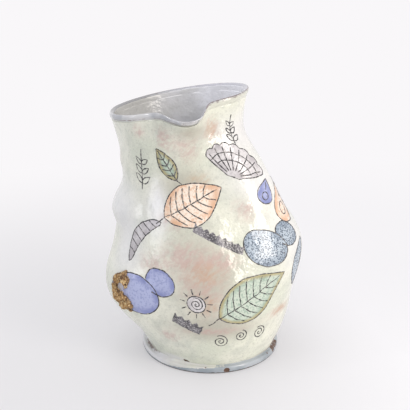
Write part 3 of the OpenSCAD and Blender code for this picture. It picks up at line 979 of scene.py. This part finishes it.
# The pulled handle: a strap drawn out wet, with a thumb groove down its back, and its two
# roots pressed and smeared on the wall. The smear sinks a little into the wall.
SMEARED_FROM = 1.2 * MM
SUNK = 0.4 * MM
for node in ("upper_handle_root", "handle_strap", "lower_handle_root"):
    piece = copy_of(node, node + "_glazed")
    weld(to_quads=True)
    crease_and_subdivide(piece, levels=2, sharp_degrees=65)
    if node != "handle_strap":
        for vertex in piece.data.vertices:
            spot, normal, _, apart = skin.find_nearest(vertex.co)
            if apart < SMEARED_FROM:
                vertex.co = spot - normal * SUNK
    smooth(50)
    piece.data.materials.append(celadon)
    # the handle has no drawing and no washes
    mark(piece, {name: np.full(len(piece.data.vertices), 0 if name in WASHES else FAR)
                 for name in fills})
    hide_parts(node)
    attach(piece, "root")

# The crust: a crescent of coarse grogged clay and iron wash pressed on the left lobe and
# left unglazed, so it is rough, matt and golden brown. It is painted dark in its hollows and
# golden on its tops, as shade and light over the wash's own brown. Its thin edge is ragged,
# and the glaze shows through it at two bare spots: bearing, height, size in mm.
BARE_SPOTS = [(-62.3, 88, 4.6), (-68.5, 90, 2.6)]
# lumps and grains: size and height in mm, and kind of noise
GROG = [(5.5, 3.2, "VORONOI"), (2.2, 2.4, "CLOUDS")]
# the worn edge wanders by RAG, and the spots narrow downwards from SPOT_HEIGHT
RAG, RAG_SIZE = 1.6 * MM, 2.5 * MM
THIN_EDGE = 1.1 * MM
SPOT_HEIGHT = 3 * MM
crust = copy_of("ochre_crust", "ochre_crust_rough")
weld(to_quads=True)
crease_and_subdivide(crust, levels=3, sharp_degrees=75)
for size, strength, kind in GROG:
    lumps = bpy.data.textures.new("grog", kind)
    lumps.noise_scale = size * MM
    modify(crust, "DISPLACE", texture=lumps, strength=strength * MM, mid_level=0.45)
standing = np.zeros(len(crust.data.vertices))
spots = [(on_wall(bearing, height * MM)[0], size * MM) for bearing, height, size in BARE_SPOTS]
for vertex in crust.data.vertices:
    spot, normal, _, _ = skin.find_nearest(vertex.co)
    off = (vertex.co - spot).dot(normal)
    rag = RAG * noise.noise(vertex.co / RAG_SIZE)
    worn = any((spot - middle).length < size + rag + (off - SPOT_HEIGHT) * 0.5
               for middle, size in spots)
    if worn or off < THIN_EDGE + 0.5 * rag:
        vertex.co = spot - normal * SUNK
    standing[vertex.index] = off / MM
mark(crust, {"standing": standing})
bpy.ops.object.shade_smooth()
rough, shader, place = new_material("unglazed_ochre_grog", 0.8)
grit = add_clouds(rough, place, 4, 1.8, Detail=4.0)
standing = add_node(rough, "Attribute", out="Fac", attribute_name="standing")
# painted shade where the crust lies low and painted light where it stands high
colour = wash(rough, "#665040", "#b18c5c", standing, 0.6, 3.0)
colour = wash(rough, colour, "#74573d", grit[4], 0.5, 0.58, 0.9)
colour = wash(rough, colour, "#d2bc92", grit[1.8], 0.53, 0.62, 0.85)
colour = wash(rough, colour, "#4a382c", grit[1.8], 0.43, 0.36, 0.8)
rough.node_tree.links.new(colour, shader.inputs["Base Color"])
bump = add_node(rough, "Bump", {"Strength": 1.0, "Distance": 1.0 * MM, "Height": grit[1.8]})
rough.node_tree.links.new(bump, shader.inputs["Normal"])
crust.data.materials.append(rough)
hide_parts("ochre_crust")
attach(crust, "root")

# The studio: a white paper table that runs far back, a tall soft light on the right, a
# weaker one on the left with a small high one above it, a broad one overhead, and a fill
TABLE = 60
SHADOW_MIDDLE = (0.05, -0.40, 0.0)
SHADOW_FROM, SHADOW_TO = 0.35, 1.2
bpy.ops.object.select_all(action="DESELECT")
bpy.ops.mesh.primitive_plane_add(size=TABLE, location=(0, 0, 0))
paper = bpy.context.object
paper.name = "paper_table"
sheet, shader, place = new_material("white_paper", 0.9)


def seen(owner):
    """Gives 1 for what shows, straight, mirrored or through glass, and 0 for what lights."""
    shown = add_node(owner, "LightPath", out="Is Camera Ray")
    for other in ("Is Glossy Ray", "Is Transmission Ray"):
        shown = add_math(owner, "MAXIMUM", shown, add_node(owner, "LightPath", out=other))
    return shown


shown = seen(sheet)
paint = add_node(sheet, "Mix", {0: shown, 6: "#eeeeef", 7: "#98989a"}, 2, data_type="RGBA")
sheet.node_tree.links.new(paint, shader.inputs["Base Color"])
# close to the jug the paper keeps its shadow, and farther off it is plain white
away = add_node(sheet, "VectorMath", {0: place, 1: SHADOW_MIDDLE}, "Value",
                operation="DISTANCE")
away = add_node(sheet, "MapRange", {0: away, 1: SHADOW_FROM, 2: SHADOW_TO},
                interpolation_type="SMOOTHSTEP")
# it is a little whiter on the right, as painted light
across = add_node(sheet, "SeparateXYZ", {0: place}, "X")
glow = add_node(sheet, "MapRange", {0: across, 1: -0.02, 2: 0.18, 3: 0.47, 4: 0.63})
glow = add_math(sheet, "MULTIPLY", shown, glow)
near = add_node(sheet, "Emission", {"Color": "#f4f2f5", "Strength": glow})
near = add_node(sheet, "AddShader", {0: shader.outputs[0], 1: near})
far = add_node(sheet, "Emission", {"Color": "#f9f7f9", "Strength": 1.0})
plain = add_math(sheet, "MULTIPLY", shown, away)
both = add_node(sheet, "MixShader", {0: plain, 1: near, 2: far})
sheet.node_tree.links.new(both, sheet.node_tree.nodes["Material Output"].inputs["Surface"])
paper.data.materials.append(sheet)

studio = bpy.data.worlds.new("studio")
bpy.context.scene.world = studio
studio.use_nodes = True
fill = add_node(studio, "Background", {"Color": "#f4f4f6", "Strength": 0.50})
white = add_node(studio, "Background", {"Color": "#f9f7f9", "Strength": 1.0})
either = add_node(studio, "MixShader", {0: seen(studio), 1: fill, 2: white})
studio.node_tree.links.new(either, studio.node_tree.nodes["World Output"].inputs["Surface"])

# name, place, width and height in metres, power in watts, and colour
LIGHTS = [("right", (0.58, -0.75, 0.43), 0.32, 0.84, 6.6, "#fff7ee"),
          ("left", (-0.88, -0.37, 0.31), 0.24, 0.44, 0.8, "#f1f4ff"),
          ("left_high", (-0.72, -0.15, 0.72), 0.09, 0.06, 0.7, "#ffffff"),
          ("top", (-0.20, 0.00, 1.30), 0.8, 0.8, 7.5, "#ffffff")]
AIM = Vector((-0.01, 0, 0.13))
for name, place, width, tall, power, tint in LIGHTS:
    lamp = bpy.data.lights.new(name, "AREA")
    lamp.shape = "RECTANGLE"
    lamp.size, lamp.size_y = width, tall
    lamp.energy = power
    lamp.color = linear(tint)[:3]
    softbox = bpy.data.objects.new(name, lamp)
    softbox.location = place
    softbox.rotation_euler = (AIM - Vector(place)).to_track_quat("-Z", "Y").to_euler()
    bpy.context.collection.objects.link(softbox)

# The camera stands 11 degrees to the left of the lip, a little above the rim
CAMERA_BEARING = -11
CAMERA_DOWN = 17.35
CAMERA_FAR = 0.712
CAMERA_ASIDE = 0.0053
CAMERA_HEIGHT = 0.371
camera_data = bpy.data.cameras.new("camera")
camera_data.sensor_width = 36
camera_data.lens = 66.1
camera = bpy.data.objects.new("camera", camera_data)
bpy.context.collection.objects.link(camera)
turn = math.radians(CAMERA_BEARING)
camera.location = (math.sin(turn) * CAMERA_FAR - math.cos(turn) * CAMERA_ASIDE,
                   -math.cos(turn) * CAMERA_FAR - math.sin(turn) * CAMERA_ASIDE,
                   CAMERA_HEIGHT)
camera.rotation_euler = (math.radians(90 - CAMERA_DOWN), 0, turn)
bpy.context.scene.camera = camera
bpy.context.scene.view_settings.view_transform = "Standard"
